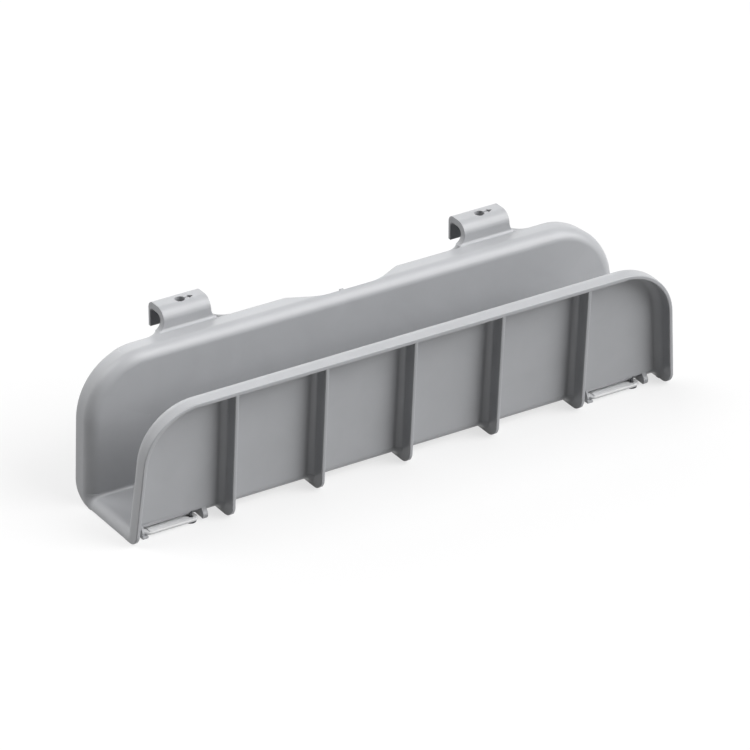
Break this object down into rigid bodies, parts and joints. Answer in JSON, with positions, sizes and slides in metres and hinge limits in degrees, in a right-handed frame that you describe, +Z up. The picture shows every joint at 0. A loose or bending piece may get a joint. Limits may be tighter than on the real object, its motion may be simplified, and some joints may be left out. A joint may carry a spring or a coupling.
{
  "type": "mop base",
  "caption": "Moulded channel tray with a flared rim, outer ribs, two saddle hooks at the back and white swivel levers under the front edge.",
  "frame": {"origin": "middle of the trough floor along X and Y, on the plane of the rib feet", "axes": "+X along the trough, +Y to the back wall with the hooks, +Z up"},
  "size_m": [0.45, 0.126, 0.1208],
  "materials": {
    "grey_plastic": "fine satin grain",
    "white_plastic": "satin",
    "screw_steel": "dark zinc"
  },
  "bodies": {
    "tray": {"tray": "grey_plastic", "left_screw": "screw_steel", "right_screw": "screw_steel"},
    "left_lever": {"left_lever": "white_plastic"},
    "right_lever": {"right_lever": "white_plastic"}
  },
  "joints": [
    {"name": "left_lever_swivel", "type": "hinge", "parent": "tray", "child": "left_lever", "pos_m": [-0.1732, -0.027, 0.00295], "axis": [0, 0, 1], "range_deg": [0, 90]},
    {"name": "right_lever_swivel", "type": "hinge", "parent": "tray", "child": "right_lever", "pos_m": [0.198, -0.027, 0.00295], "axis": [0, 0, 1], "range_deg": [0, 90]}
  ]
}
